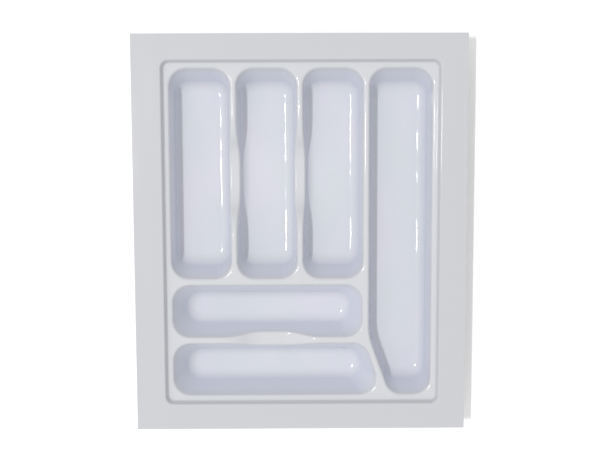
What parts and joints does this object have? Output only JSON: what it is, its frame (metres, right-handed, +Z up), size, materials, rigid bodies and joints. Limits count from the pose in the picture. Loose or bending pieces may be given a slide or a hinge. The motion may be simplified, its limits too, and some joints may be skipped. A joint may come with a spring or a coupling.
{
  "type": "cutlery tray",
  "caption": "Shallow formed plastic drawer tray with long and cross wells for cutlery, dipped ridges for the fingers and a flat flange to trim to the drawer.",
  "frame": {"origin": "middle of the flange's outline, on the plane that the well floors rest on", "axes": "+X to the right across the tray, +Y from the front cross well to the back, +Z up out of the wells"},
  "size_m": [0.41, 0.49, 0.05],
  "materials": {
    "white_plastic": "white polystyrene sheet, formed hot, with the sheet's own high gloss on top"
  },
  "bodies": {
    "root": {"left_well": "white_plastic", "middle_well": "white_plastic", "right_well": "white_plastic", "long_well": "white_plastic", "back_cross_well": "white_plastic", "front_cross_well": "white_plastic", "back_flange": "white_plastic", "front_flange": "white_plastic", "left_flange": "white_plastic", "right_flange": "white_plastic"}
  },
  "joints": []
}
